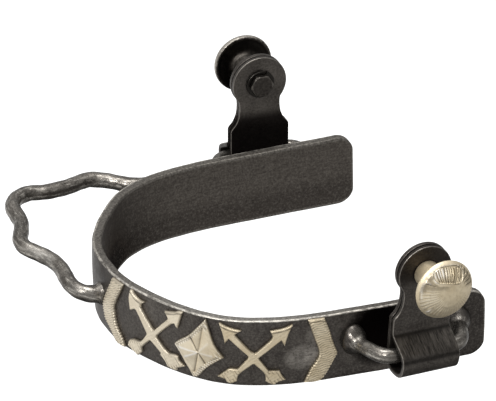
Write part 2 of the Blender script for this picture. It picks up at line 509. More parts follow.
def make_hanger(which):
    h = HANG[which]
    side = h["side"]
    pm_in, pm_out = P_IN + STRAP_T / 2, P_OUT - STRAP_T / 2
    top = HEAD_Q + HEAD_R
    bend = catmull(np.array([(pm_in, 1.5), (pm_in, -0.6), (pm_in, -2.5), (-3.42, -3.75), (-2.6, -4.5), (-1.1, -4.9), (0.9, -4.85), (2.8, -4.35),
                             (4.0, -3.35), (4.6, -1.95), (4.80, -0.2), (4.42, 1.10), (2.83, 2.28), (0.83, 3.42), (-0.95, 4.42), (-1.85, 5.15), (pm_out, 6.0), (pm_out, 7.5)]), 10)[8:-8]
    C = np.concatenate([[(pm_in, top + 0.01)], [(pm_in, q) for q in np.linspace(top - 0.5, 2.0, 50)], bend, [(pm_out, q) for q in np.linspace(8.0, top - 0.5, 45)], [(pm_out, top + 0.01)]])
    C, t = resample(C, step=0.05)
    Lt = t[-1]
    T = np.gradient(C, axis=0)
    T /= np.linalg.norm(T, axis=1)[:, None]
    N = np.stack([T[:, 1], -T[:, 0]], 1)      # to the left going down the inner leaf = away from the fold
    w = HANGER_W / 2
    right = [(w, 9.6), (w - 0.12, 10.0), (w - 0.42, 10.45), (7.35, 10.95), (6.85, 11.6), (6.5, 12.3), (6.0, 13.6), (5.77, 15.1), (WAIST / 2, 16.6), (5.76, 17.6)]
    head = [(HEAD_R * math.cos(a), HEAD_Q + HEAD_R * math.sin(a)) for a in np.radians(np.linspace(-39, 90, 40))]
    leaf = [(x, q) for x, q in right] + head            # from the shoulder up to the head's top, right side
    t_in = lambda q: top - q                            # arc length of height q on the inner leaf
    t_out = lambda q: Lt - (top - q)
    half = [(x, t_in(q)) for x, q in reversed(leaf)]    # going down the inner leaf
    mid = np.linspace(half[-1][1], t_out(leaf[0][1]), 60)[1:-1]
    half += [(w, m) for m in mid] + [(x, t_out(q)) for x, q in leaf]
    half = np.array(half)
    half, _ = resample(half, step=0.42)
    B = np.concatenate([half, (half * [-1, 1])[::-1][1:-1]])     # closed outline in (x, t)
    n = len(B)
    tan = np.roll(B, -1, 0) - np.roll(B, 1, 0)
    nrm = np.stack([-tan[:, 1], tan[:, 0]], 1) / np.maximum(np.linalg.norm(tan, axis=1), 1e-9)[:, None]
    cen = B.mean(0)
    # area sign decides which way is inward
    area = 0.5 * np.sum(B[:, 0] * np.roll(B[:, 1], -1) - np.roll(B[:, 0], -1) * B[:, 1])
    inn = nrm if area > 0 else -nrm
    c, hT = 0.30, STRAP_T / 2
    rings = [(c, hT), (c * 0.35, hT - c * 0.12), (c * 0.05, hT - c * 0.5), (0, hT - c), (0, -(hT - c)), (c * 0.05, -(hT - c * 0.5)), (c * 0.35, -(hT - c * 0.12)), (c, -hT)]
    UV = [np.concatenate([B + inn * i, np.full((n, 1), hh)], 1) for i, hh in rings]
    # inside of the plate, on a grid
    gx = np.arange(-w + 0.9, w - 0.8, 0.75)
    gt = np.arange(0.6, Lt - 0.5, 0.42)
    G = np.array([(x, tt) for tt in gt for x in gx])
    inner_loop = B + inn * c
    G = G[inside(G, inner_loop)]
    G = G[seg_dist(G, inner_loop, np.roll(inner_loop, -1, 0)) > 0.35]
    P = np.concatenate([inner_loop, G])
    vo, eo, fo, ov, oe, of_ = geometry.delaunay_2d_cdt([Vector(q) for q in P], [(i, (i + 1) % n) for i in range(n)], [tuple(range(n))], 1, 1e-6)
    idx = [o_[0] for o_ in ov]
    back = {i: k for k, i in enumerate(idx)}
    nR = len(rings)
    V = list(np.concatenate(UV))
    F = []
    for k in range(nR - 1):
        for i in range(n):
            j = (i + 1) % n
            F.append((k * n + i, k * n + j, (k + 1) * n + j, (k + 1) * n + i))
    for sgn, ring in ((1, 0), (-1, nR - 1)):
        remap = {}
        for k, i in enumerate(idx):
            if i < n:
                remap[k] = ring * n + i
            else:
                remap[k] = len(V)
                V.append(np.array([P[i][0], P[i][1], sgn * hT]))
        for f in fo:
            f2 = tuple(remap[k] for k in f)
            F.append(f2 if sgn > 0 else tuple(reversed(f2)))
    V = np.array(V)
    tt = np.clip(V[:, 1], 0, Lt)
    cp, cq = np.interp(tt, t, C[:, 0]), np.interp(tt, t, C[:, 1])
    np_, nq = np.interp(tt, t, N[:, 0]), np.interp(tt, t, N[:, 1])
    p, q = cp + np_ * V[:, 2], cq + nq * V[:, 2]
    over = np.where(V[:, 1] < 0, -V[:, 1], 0)
    loc = np.stack([V[:, 0], side * p, q], 1)
    dB = np.minimum(seg_dist(V[:, :2], B, np.roll(B, -1, 0)), 3.0)
    edge = smooth01(1 - dB / 0.42)
    crease = np.exp(-((V[:, 1] - t[np.argmin(np.hypot(C[:, 0] + 1.5, C[:, 1] - 4.9))]) / 1.0) ** 2)
    inside_fold = smooth01((-V[:, 2] + 0.25) / 0.3)
    # 1 on the slope between crease and wire, where the strap is brushed
    def near(p0, q0, wd):
        return np.exp(-((V[:, 1] - t[np.argmin(np.hypot(C[:, 0] - p0, C[:, 1] - q0) + (t < Lt * 0.3) * 50)]) / wd) ** 2)
    slope = smooth01((cq - 0.9) / 0.6) * smooth01((4.9 - cq) / 0.8) * (cp > -1.2) * (V[:, 1] > Lt * 0.4)
    crease = np.clip(near(-1.4, 4.75, 0.85) + 0.95 * near(4.75, 0.5, 0.65), 0, 1)
    low_leaf = smooth01((15.6 - cq) / 3.5) * (cp < -1.0) * (side > 0) + 0.62 * smooth01((cq - 19.0) / 3.0) * (V[:, 1] > Lt * 0.5) * (side < 0)
    edge = edge * np.where(np.abs(V[:, 2]) > hT - c * 0.6, 1.0, 0.35)
    edge = np.where(V[:, 2] > 0, edge, edge * 0.5)
    co = np.stack([V[:, 0], tt, V[:, 2]], 1)
    o = add_mesh("hanger_%s_strap" % which, apply(place(h), loc), F, {"edge": edge, "crease": crease, "fold": inside_fold, "slope": slope, "low": low_leaf}, 40, co)
    return outward(o)


# ---------------- buttons ----------------
def lathe(profile, nth, top_fn=None):
    """profile of (r, w); the first and last points lie on the axis."""
    a = np.linspace(0, 2 * math.pi, nth, endpoint=False)
    pr = np.array(profile, float)
    V = []
    for r, w in pr[1:-1]:
        V.append(np.stack([r * np.cos(a), r * np.sin(a), np.full(nth, w)], 1))
    V = np.concatenate(V + [[(0, 0, pr[0, 1])], [(0, 0, pr[-1, 1])]])
    n = len(pr) - 2
    F = grid(n, nth, close_v=True)
    F += [((j + 1) % nth, j, n * nth) for j in range(nth)]
    F += [((n - 1) * nth + j, (n - 1) * nth + (j + 1) % nth, n * nth + 1) for j in range(nth)]
    return V, F


def make_button(which):
    h = HANG[which]
    side, R = h["side"], BUTTON_R[which]
    w0, w1 = P_OUT + (0.4 if h["cock"] else 0.2), P_OUT + POST_L
    PR = POST_R + (0.35 if which == "outer" else 0.0)
    pr = [(0, w0 + 0.6), (2.0, w0 + 0.6), (2.1, w0 + 0.02), (2.25, w0), (PR - 0.25, w0), (PR - 0.05, w0 + 0.1), (PR, w0 + 0.3)]
    pr += [(PR, w) for w in np.linspace(w0 + 0.6, w1 - 1.5, 9)]
    pr += [(PR + 0.05, w1 - 1.0), (PR + 0.22, w1 - 0.5), (PR + 0.6, w1 - 0.12), (PR + 1.2, w1 - 0.02)]
    pr += [(r, w1 + 0.0) for r in np.linspace(PR + 1.7, R - 1.9, 5)]
    if which == "outer":
        pr += [(R - 1.5, w1 + 0.02), (R - 1.15, w1 + 0.10), (R - 0.75, w1 + 0.28), (R - 0.35, w1 + 0.50), (R - 0.10, w1 + 0.75), (R, w1 + 0.98), (R - 0.03, w1 + 1.2), (R - 0.16, w1 + 1.5), (R - 0.40, w1 + 1.78)]
    else:
        pr += [(R - 1.5, w1 + 0.10), (R - 1.0, w1 + 0.06), (R - 0.55, w1 + 0.0), (R - 0.22, w1 + 0.06), (R - 0.05, w1 + 0.24), (R, w1 + 0.55), (R, w1 + 1.15), (R - 0.12, w1 + 1.5), (R - 0.40, w1 + 1.78)]
    base = np.array([(R - 0.40, 1.78), (0.85 * R, 2.7), (0.66 * R, 3.6), (0.45 * R, 4.25), (0.22 * R, 4.6), (0.0, 4.70)])
    rr = np.linspace(R - 0.65, 0.12, 84)
    dome = np.interp(rr, base[::-1, 0], base[::-1, 1])
    # round the polyline a little
    k = np.ones(5) / 5
    dome = np.concatenate([dome[:2], np.convolve(dome, k, "valid"), dome[-2:]])
    n0 = len(pr)
    pr += [(r, w1 + d) for r, d in zip(rr, dome)] + [(0, w1 + 4.70)]
    nth = 420
    V, F = lathe(pr, nth)
    a = np.arctan2(V[:, 1], V[:, 0])
    r = np.hypot(V[:, 0], V[:, 1])
    edge = np.zeros(len(V))
    dark = np.zeros(len(V))
    light = np.zeros(len(V))
    ring = np.concatenate([np.repeat(np.arange(1, len(pr) - 1), nth), [0, len(pr) - 1]])
    topv = ring >= n0
    # x, y here: x along the arm, y up the hanger once placed
    x, y = V[:, 0], V[:, 1]
    if which == "outer":
        def dent(depth, mask, stain):
            V[:, 2] -= depth * mask
            np.maximum(dark, stain * mask, out=dark)
        Q = V[:, :2]
        # fluted shell on the upper half, springing from below the middle
        shell = catmull(np.array([(-2.7, 3.4), (-3.6, 4.2), (-4.0, 5.2), (-3.75, 6.2), (-2.9, 6.85), (-0.4, 7.15), (2.5, 6.9), (3.8, 5.9), (4.1, 4.7), (3.7, 3.4),
                                   (3.0, 2.45), (1.6, 2.60), (0.0, 2.95), (-1.4, 3.25), (-2.7, 3.4)]), 6)[:-1]
        ds = seg_dist(Q, shell, np.roll(shell, -1, 0))
        ins = inside(Q, shell) & topv
        fx, fy = 0.4, -3.9
        fr, fa = np.hypot(x - fx, y - fy), np.arctan2(x - fx, y - fy)     # fa = 0 points up the hanger
        bend = fa + 0.018 * np.sin(fr * 1.1 + 5 * fa) + 0.012 * np.sin(23 * fa)
        ph = np.abs(np.sin(bend * 43 + 0.3))
        each = 0.62 + 0.38 * np.sin(np.floor((bend * 43 + 0.3) / math.pi) * 2.4)
        flute = ins * smooth01((ds - 0.10) / 0.25)
        dent(0.44, flute * (1 - ph) ** 0.9 * each, 0.92)
        dent(0.0, flute * smooth01((x - 1.6) / 1.4) * (0.35 + 0.65 * (1 - ph)), 0.80)
        np.maximum(light, flute * ph ** 1.5 * smooth01((1.0 - x) / 3.0) * smooth01((y - 4.0) / 1.5), out=light)
        dent(0.10, flute * smooth01((2.6 - (fr - 6.6)) / 2.0), 0.36)
        out_top = smooth01((y - 2.9 + 0.12 * x) / 0.6)
        lip = np.exp(-((ds - 0.22) / 0.19) ** 2) * (~ins) * topv * out_top
        V[:, 2] += 0.22 * lip
        np.maximum(light, lip * (0.35 + 0.45 * smooth01((0.5 - x) / 2.0)), out=light)
        dent(0.12, np.exp(-(ds / 0.10) ** 2) * topv * (0.35 + 0.65 * smooth01(x / 2.0)), 0.80)
        dent(0.0, smooth01((1.8 - x) / 2.0) * smooth01((y - 0.2) / 2.0) * smooth01((r - 6.0) / 0.6) * (~ins) * topv, 0.58)
        # petal at the left, with a short dark vein
        pet = catmull(np.array([(-7.3, 1.3), (-7.0, 2.7), (-6.2, 3.75), (-5.2, 3.6), (-4.1, 2.9)]), 6)
        dp = seg_dist(Q, pet[:-1], pet[1:])
        lip = np.exp(-(dp / 0.32) ** 2) * topv * smooth01((-4.6 - x) / 0.6)
        V[:, 2] += 0.20 * lip
        np.maximum(light, lip, out=light)
        vein = np.array([(-5.9, 3.35), (-5.0, 3.15), (-3.95, 2.75)])
        dent(0.14, np.exp(-(seg_dist(Q, vein[:-1], vein[1:]) / 0.15) ** 2) * topv, 0.70)
        # hatched corner between shell and rim
        corner = smooth01((x - 3.4) / 0.6) * smooth01((y - 0.2) / 1.2) * smooth01((ds - 0.35) / 0.3) * (~ins) * topv
        tks = np.clip(np.sin(a * 36 + 0.9 * np.sin(r * 2.1)), 0, 1) ** 0.7
        dent(0.24, corner * tks * smooth01((r - 4.6) / 0.8), 0.88)
        dent(0.04, corner * smooth01((r - 4.8) / 1.2), 0.42)
        dent(0.0, smooth01((-x + 0.5) / 1.5) * smooth01((y - 1.0) / 1.5) * smooth01((ds - 0.5) / 0.3) * smooth01((7.05 - r) / 0.2) * (~ins) * topv, 0.46)
        # fine rays on the plain lower part, strongest towards the left
        ra = np.arctan2(y - 1.4, x - 0.5)
        rr2 = np.hypot(y - 1.4, x - 0.5)
        leftw = smooth01((-x - 0.5) / 2.5) * (~ins) * topv * smooth01((2.6 - y) / 1.0)
        ray = np.clip(np.sin(ra * 46 + 1.2 * np.sin(rr2 * 1.1)), 0, 1) ** 2
        dent(0.06, leftw * ray * smooth01((rr2 - 2.2) / 1.5), 0.18)
        np.maximum(light, 0.35 * leftw * np.clip(-np.sin(ra * 46 + 1.2 * np.sin(rr2 * 1.1)), 0, 1) ** 2 * smooth01((rr2 - 3.5) / 2.0), out=light)
        lowr = (~ins) * topv * smooth01((-y - 1.0) / 2.0) * smooth01((rr2 - 4.0) / 2.0)
        dent(0.05, lowr * np.clip(np.sin(ra * 58), 0, 1) ** 2, 0.16)
        light = np.maximum(light, np.exp(-(((x + 5.2) * 0.75 - (y + 4.6) * 0.66) / 0.30) ** 2 - (((x + 5.2) * 0.66 + (y + 4.6) * 0.75) / 0.8) ** 2) * topv)
        V[:, 2] += 0.16 * np.exp(-(((x + 5.2) * 0.75 - (y + 4.6) * 0.66) / 0.28) ** 2 - (((x + 5.2) * 0.66 + (y + 4.6) * 0.75) / 0.9) ** 2) * topv
        # bead along the rim on the left, short ticks along it on the right
        lip = np.exp(-((r - 7.2) / 0.18) ** 2) * topv * smooth01((-x - 1.0) / 1.5) * smooth01((y + 1.5) / 1.0)
        V[:, 2] += 0.10 * lip
        np.maximum(light, 0.55 * lip, out=light)
        outer_ring = smooth01((r - 7.35) / 0.15) * topv * smooth01((0.5 - x) / 2.0) * smooth01((y + 2.5) / 2.0)
        dent(0.0, outer_ring, 0.50)
        tk = smooth01((r - (R - 1.25)) / 0.2) * topv * np.clip(np.sin(a * 44 + 0.8 * np.sin(a * 5)), 0, 1) * (0.12 + 0.88 * smooth01((x - 2.0) / 2.0))
        dent(0.16, tk, 0.75)
    else:
        tk = smooth01((r - (R - 1.4)) / 0.2) * topv * np.clip(np.sin(a * 44), 0, 1)
        V[:, 2] -= 0.07 * tk
        dark = np.maximum(dark, 0.4 * tk)
        ph = np.abs(np.sin(a * 8))
        win = smooth01((r - 2.2) / 0.6) * smooth01((R - 1.7 - r) / 0.4) * topv
        V[:, 2] -= 0.22 * win * (1 - ph) ** 1.5
        dark = np.maximum(dark, 0.6 * win * (1 - ph) ** 2)
    edge = smooth01(1 - np.abs(ring - (n0 - 3)) / (5.0 if which == "outer" else 6.5))
    # shade deep between post and head
    deep = smooth01((ring - 16) / 4.0) * (ring < n0 - 7) * (ring > 0)
    postv = ((ring < 17) & (ring > 0)).astype(float)
    # (x, y, w) -> hanger frame (x, side * w, HEAD_Q + y)
    loc = np.stack([V[:, 0], side * V[:, 2], HEAD_Q + V[:, 1]], 1)
    co = np.stack([r * np.cos(a), r * np.sin(a), V[:, 2]], 1)
    o = add_mesh("button_%s_cap" % which, apply(place(h, True), loc), F, {"edge": edge, "dark": dark, "light": light * (1 - dark), "deep": deep, "post": postv}, 45, co)
    return outward(o)


def make_bolt(which):
    h = HANG[which]
    side = h["side"]
    w0 = P_IN - 0.15 - WASH_T - (0.4 if h["cock"] else 0.1)
    af, n = HEX_AF / 2, 96
    a = np.linspace(0, 2 * math.pi, n, endpoint=False)
    hx = af / np.cos(a % (math.pi / 3) - math.pi / 6)
    hx = np.minimum(hx, af / math.cos(math.pi / 6) * 0.985)
    rings = [(np.full(n, 1.9), w0 + 9.8), (np.full(n, 1.9), w0 + 0.02), (np.minimum(hx, 2.9), w0), (hx - 0.12, w0), (hx, w0 - 0.12), (hx, w0 - HEX_H + 0.50),
             (np.minimum(hx, af * 1.10), w0 - HEX_H + 0.26), (np.minimum(hx, af * 1.02) - 0.05, w0 - HEX_H + 0.08), (np.full(n, af * 0.92), w0 - HEX_H), (np.full(n, af * 0.5), w0 - HEX_H + 0.02)]
    V = np.concatenate([np.stack([r * np.cos(a), np.full(n, w) * side, HEAD_Q + r * np.sin(a)], 1) for r, w in rings] + [[(0, side * (w0 + 9.8), HEAD_Q)], [(0, side * (w0 - HEX_H + 0.02), HEAD_Q)]])
    m = len(rings)
    F = grid(m, n, close_v=True) + [((j + 1) % n, j, m * n) for j in range(n)] + [((m - 1) * n + j, (m - 1) * n + (j + 1) % n, m * n + 1) for j in range(n)]
    edge = np.concatenate([np.full(n, e) for e in (0, 0, 0, 0.4, 0.6, 0.35, 1.0, 0.9, 0.5, 0.05)] + [[0, 0]])
    corner = np.tile(smooth01(1 - np.abs((a % (math.pi / 3)) - math.pi / 6) / 0.10), m)
    corner = np.concatenate([np.tile(np.maximum(smooth01(1 - np.abs(((a + math.pi / 6) % (math.pi / 3)) - math.pi / 6) / 1.0) * 0, 0), m), [0, 0]])
    o = add_mesh("bolt_%s_hex" % which, apply(place(h, True), V), F, {"edge": edge}, 24)
    return outward(o)


def make_washer(which):
    h = HANG[which]
    side = h["side"]
    wc = P_IN - 0.15 - WASH_T / 2
    gap = math.radians(8)
    c0 = math.radians(90 - 20)       # direction of the slit in the leaf's plane
    ts = np.linspace(c0 + gap, c0 + 2 * math.pi - gap, 90)
    b = 0.12
    ri, ro, t2 = 2.25, 3.9, WASH_T / 2
    sec = [(ri + b, -t2), (ri, -t2 + b), (ri, t2 - b), (ri + b, t2), (ro - b, t2), (ro, t2 - b), (ro, -t2 + b), (ro - b, -t2)]
    V = []
    for k, tt in enumerate(ts):
        f = k / (len(ts) - 1) - 0.5
        for r, w in sec:
            V.append((r * math.cos(tt), side * (wc + w + 0.10 * f * 2 * (abs(f) * 2) ** 3 * 0.6), HEAD_Q + r * math.sin(tt)))
    n = len(sec)
    F = grid(len(ts), n, close_v=True) + [tuple(range(n)), tuple(reversed(range((len(ts) - 1) * n, len(ts) * n)))]
    edge = np.tile([0.8, 0.5, 0.5, 0.8, 1.0, 1.0, 1.0, 1.0], len(ts)) * 1.0
    o = add_mesh("lock_washer_%s_ring" % which, apply(place(h), V), F, {"edge": edge}, 30)
    return outward(o)


# ---------------- materials ----------------
class Nodes:
    def __init__(self, name):
        self.m = bpy.data.materials.new(name)
        self.m.use_nodes = True
        self.t = self.m.node_tree
        self.t.nodes.clear()
        self.out = self.t.nodes.new("ShaderNodeOutputMaterial")
        self.b = self.t.nodes.new("ShaderNodeBsdfPrincipled")
        self.t.links.new(self.b.outputs[0], self.out.inputs[0])
        tc = self.t.nodes.new("ShaderNodeTexCoord")
        sc = self.t.nodes.new("ShaderNodeVectorMath")
        sc.operation = "SCALE"
        sc.inputs[3].default_value = 1000.0
        self.t.links.new(tc.outputs["Object"], sc.inputs[0])
        self.mm = sc.outputs[0]          # object coordinates in millimetres

    def new(self, kind, **kw):
        n = self.t.nodes.new(kind)
        for k, v in kw.items():
            setattr(n, k, v)
        return n

    def put(self, sock, v):
        if isinstance(v, bpy.types.NodeSocket):
            self.t.links.new(v, sock)
        elif isinstance(v, (int, float)):
            sock.default_value = float(v)
        else:
            sock.default_value = tuple(v) if len(v) == len(sock.default_value) else tuple(v) + (1.0,)

    def attr(self, name, vec=False):
        n = self.new("ShaderNodeAttribute", attribute_name=name)
        return n.outputs["Vector"] if vec else n.outputs["Fac"]

    def stretch(self, v, s):
        n = self.new("ShaderNodeVectorMath", operation="MULTIPLY")
        self.put(n.inputs[0], v)
        n.inputs[1].default_value = s
        return n.outputs[0]

    def noise(self, v, scale, detail=3.0, rough=0.55, dist=0.0):
        n = self.new("ShaderNodeTexNoise")
        self.put(n.inputs["Vector"], v)
        n.inputs["Scale"].default_value = scale
        n.inputs["Detail"].default_value = detail
        n.inputs["Roughness"].default_value = rough
        n.inputs["Distortion"].default_value = dist
        return n.outputs["Fac"]

    def voronoi(self, v, scale):
        n = self.new("ShaderNodeTexVoronoi")
        self.put(n.inputs["Vector"], v)
        n.inputs["Scale"].default_value = scale
        return n.outputs["Distance"]

    def range(self, v, a, b, c=0.0, d=1.0):
        n = self.new("ShaderNodeMapRange")
        self.put(n.inputs[0], v)
        for i, x in zip((1, 2, 3, 4), (a, b, c, d)):
            self.put(n.inputs[i], x)
        return n.outputs[0]

    def math(self, op, a, b=0.0, clamp=False):
        n = self.new("ShaderNodeMath", operation=op, use_clamp=clamp)
        self.put(n.inputs[0], a)
        self.put(n.inputs[1], b)
        return n.outputs[0]

    def mix(self, f, a, b):
        n = self.new("ShaderNodeMix", data_type="RGBA")
        self.put(n.inputs[0], f)
        self.put(n.inputs[6], a)
        self.put(n.inputs[7], b)
        return n.outputs[2]

    def bump(self, height, dist_mm, strength=1.0, normal=None):
        n = self.new("ShaderNodeBump")
        n.inputs["Strength"].default_value = strength
        n.inputs["Distance"].default_value = dist_mm * 0.001
        self.put(n.inputs["Height"], height)
        if normal is not None:
            self.put(n.inputs["Normal"], normal)
        return n.outputs[0]

    def done(self, color, rough, normal=None, metallic=1.0, **kw):
        b = self.b
        self.put(b.inputs["Base Color"], color)
        self.put(b.inputs["Roughness"], rough)
        self.put(b.inputs["Metallic"], metallic)
        if normal is not None:
            self.put(b.inputs["Normal"], normal)
        for k, v in kw.items():
            self.put(b.inputs[k], v)
        return self.m


def wear_of(N, edge, amount=1.0, scale=0.9):
    """edge mask broken up by noise"""
    n = N.noise(N.mm, scale, 4.0, 0.6)
    k = N.math("ADD", N.math("MULTIPLY", edge, 1.0), N.math("MULTIPLY", N.math("SUBTRACT", n, 0.5), 0.9))
    return N.math("MULTIPLY", N.range(k, 0.45, 1.0), amount, True)


def band_material():
    N = Nodes("antiqued_band_steel")
    co = N.attr("co", True)
    rim, inner = N.attr("rim"), N.attr("inner")
    zz = N.new("ShaderNodeSeparateXYZ")
    N.put(zz.inputs[0], co)
    S, Z = zz.outputs[0], zz.outputs[1]

    def spot(s0, z0, rs, rz, full=0.0):
        """soft patch centred on (s0, z0) of the outer face"""
        a = N.math("DIVIDE", N.math("SUBTRACT", S, s0), rs)
        b = N.math("DIVIDE", N.math("SUBTRACT", Z, z0), rz)
        q = N.math("ADD", N.math("MULTIPLY", a, a), N.math("MULTIPLY", b, b))
        return N.range(q, 1.0, full)
    big = N.noise(N.mm, 0.09, 4.0, 0.6)
    mid = N.noise(N.mm, 0.55, 5.0, 0.62)
    brushed = N.noise(N.stretch(co, (0.30, 2.6, 1.0)), 1.0, 5.0, 0.65)      # marks along the band
    grain = N.noise(N.mm, 1.7, 4.0, 0.75)
    fine = N.noise(N.mm, 5.5, 3.0, 0.6)
    face = N.mix(N.range(big, 0.35, 0.68), (0.042, 0.036, 0.032), (0.080, 0.071, 0.062))
    face = N.mix(N.math("MULTIPLY", N.range(mid, 0.42, 0.75), 0.45), face, (0.125, 0.114, 0.100))
    # hand rubbed lighter before the front chevron, left black behind the hanger
    streaks = N.noise(N.stretch(co, (0.34, 1.5, 1.0)), 1.0, 5.0, 0.75)
    rub = N.math("MULTIPLY", N.math("MAXIMUM", spot(65.6, 8.0, 6.8, 4.4), N.math("MULTIPLY", spot(67.4, 13.0, 2.4, 5.5), 0.45)), N.range(N.math("ADD", N.math("MULTIPLY", streaks, 0.6), N.math("MULTIPLY", mid, 0.4)), 0.38, 0.60, 0.20, 1.0))
    face = N.mix(N.math("MULTIPLY", rub, 0.95), face, (0.34, 0.315, 0.28))
    face = N.mix(N.math("MULTIPLY", N.math("MULTIPLY", spot(20.0, 14.5, 9.0, 6.0), N.range(mid, 0.35, 0.65)), 0.5), face, (0.17, 0.157, 0.14))
    black = N.math("MULTIPLY", spot(85.2, 12.4, 9.0, 11.0, 0.35), 0.98)
    face = N.mix(black, face, (0.003, 0.002, 0.002))
    face = N.mix(N.range(S, 88.0, 104.0, 0.0, 0.45), face, (0.026, 0.022, 0.019))
    smudge = N.math("MULTIPLY", N.math("MAXIMUM", spot(98.5, 13.5, 3.0, 5.0), spot(101.5, 8.0, 2.2, 5.0)), N.range(mid, 0.40, 0.62))
    face = N.mix(N.math("MULTIPLY", smudge, 0.8), face, (0.150, 0.138, 0.122))
    innerc = N.mix(N.range(brushed, 0.30, 0.72), (0.056, 0.048, 0.041), (0.100, 0.088, 0.075))
    low = N.math("ADD", Z, N.math("MULTIPLY", N.math("SUBTRACT", big, 0.5), 5.0))
    low = N.math("MULTIPLY", N.range(low, 9.5, 5.5), 0.52)                    # darker towards the lower rim
    innerc = N.mix(low, innerc, (0.024, 0.019, 0.016))
    heel = N.math("MULTIPLY", N.range(S, -62.0, -34.0), N.range(Z, 18.0, 4.0, 0.40, 0.98))
    innerc = N.mix(heel, innerc, (0.010, 0.008, 0.007))
    col = N.mix(inner, face, innerc)
    col = N.mix(N.math("MULTIPLY", N.range(grain, 0.50, 0.72), 0.55), col, (0.175, 0.159, 0.140))
    col = N.mix(N.math("MULTIPLY", N.range(grain, 0.50, 0.28), 0.75), col, (0.016, 0.013, 0.011))
    col = N.mix(N.math("MULTIPLY", black, N.math("SUBTRACT", 1.0, inner)), col, (0.003, 0.002, 0.002))
    wear = wear_of(N, rim, 1.0, 0.8)
    flat = N.mix(N.range(grain, 0.34, 0.66), (0.050, 0.045, 0.039), (0.240, 0.222, 0.196))
    flat = N.mix(N.math("MULTIPLY", N.range(S, 5.0, 45.0), N.range(S, 85.0, 55.0)), flat, N.mix(N.range(grain, 0.30, 0.62), (0.10, 0.092, 0.082), (0.38, 0.36, 0.325)))
    col = N.mix(N.range(rim, 0.15, 0.5, 0.0, 0.85), col, flat)
    streak = N.range(N.noise(N.stretch(co, (0.5, 1.0, 1.0)), 1.2, 3.0, 0.6), 0.38, 0.60)
    bright = N.math("MULTIPLY", N.math("MULTIPLY", wear, streak), N.range(rim, 0.62, 0.95))
    col = N.mix(N.math("MULTIPLY", bright, 0.95), col, (0.60, 0.565, 0.505))
    pit = N.range(N.voronoi(N.mm, 0.9), 0.0, 0.22, 1.0, 0.0)
    pits = N.math("MULTIPLY", pit, N.range(N.noise(N.mm, 0.35, 2.0), 0.52, 0.70), True)
    col = N.mix(N.math("MULTIPLY", pits, 0.5), col, (0.014, 0.012, 0.010))
    rough = N.math("ADD", N.range(mid, 0.3, 0.7, 0.36, 0.52), N.math("MULTIPLY", N.math("SUBTRACT", grain, 0.5), 0.22))
    b1 = N.bump(fine, 0.02, 0.5)
    b2 = N.bump(N.math("ADD", N.math("MULTIPLY", brushed, 0.6), N.math("MULTIPLY", grain, 0.6)), 0.07, 0.5, b1)
    b3 = N.bump(N.math("MULTIPLY", pits, -1.0), 0.05, 0.8, b2)
    quiet = N.math("MULTIPLY", N.math("ADD", N.math("MULTIPLY", heel, inner), N.math("MULTIPLY", black, N.math("SUBTRACT", 1.0, inner)), True), N.math("SUBTRACT", 1.0, rim, True))
    rough = N.math("ADD", rough, N.math("MULTIPLY", quiet, 0.16))
    return N.done(col, rough, b3, 0.82, **{"Specular IOR Level": N.range(quiet, 0.0, 1.0, 0.5, 0.06), "Specular Tint": N.mix(quiet, (1.0, 1.0, 1.0), (0.22, 0.19, 0.17))})


def rod_material(name, lift=1.0, foot=0.0):
    N = Nodes(name)
    co = N.attr("co", True)
    big = N.noise(N.mm, 0.16, 4.0, 0.6)
    mid = N.noise(N.stretch(co, (0.35, 1.3, 1.0)), 0.9, 5.0, 0.62)
    fine = N.noise(N.mm, 1.9, 5.0, 0.75)
    c = N.mix(N.range(big, 0.34, 0.70), tuple(lift * v for v in (0.085, 0.077, 0.068)), tuple(lift * v for v in (0.185, 0.170, 0.150)))
    c = N.mix(N.math("MULTIPLY", N.range(mid, 0.50, 0.68), 0.75), c, tuple(lift * v for v in (0.52, 0.49, 0.44)))
    c = N.mix(N.math("MULTIPLY", N.range(fine, 0.50, 0.64), 0.85), c, (0.022, 0.019, 0.016))
    c = N.mix(N.math("MULTIPLY", N.range(fine, 0.44, 0.26), 0.35), c, tuple(lift * v for v in (0.36, 0.335, 0.295)))
    if not foot:      # two worn bright streaks along the near part of the bumper
        sy = N.new("ShaderNodeSeparateXYZ")
        N.put(sy.inputs[0], co)
        along = N.math("MAXIMUM", N.range(N.math("ABSOLUTE", N.math("SUBTRACT", sy.outputs[0], 25.5)), 6.5, 2.5), N.range(N.math("ABSOLUTE", N.math("SUBTRACT", sy.outputs[0], 6.0)), 4.5, 2.0, 0.0, 0.35))
        round_ = N.range(N.math("ABSOLUTE", N.math("SUBTRACT", sy.outputs[1], 11.5)), 1.9, 0.4)
        streak = N.math("MULTIPLY", N.math("MULTIPLY", along, round_), N.range(mid, 0.36, 0.58, 0.25, 1.0))
        c = N.mix(N.math("MULTIPLY", streak, 0.42), c, (0.80, 0.77, 0.71))
    if foot:      # the flattened feet are duller
        sx = N.new("ShaderNodeSeparateXYZ")
        N.put(sx.inputs[0], co)
        c = N.mix(N.math("MULTIPLY", N.range(sx.outputs[2], 2.15, 2.8), foot), c, (0.050, 0.044, 0.039))
    rough = N.math("ADD", N.range(mid, 0.35, 0.68, 0.38, 0.17), N.math("MULTIPLY", N.math("SUBTRACT", fine, 0.5), 0.3))
    n1 = N.bump(fine, 0.06, 0.6)
    n2 = N.bump(mid, 0.10, 0.5, n1)
    return N.done(c, rough, n2, 0.9)


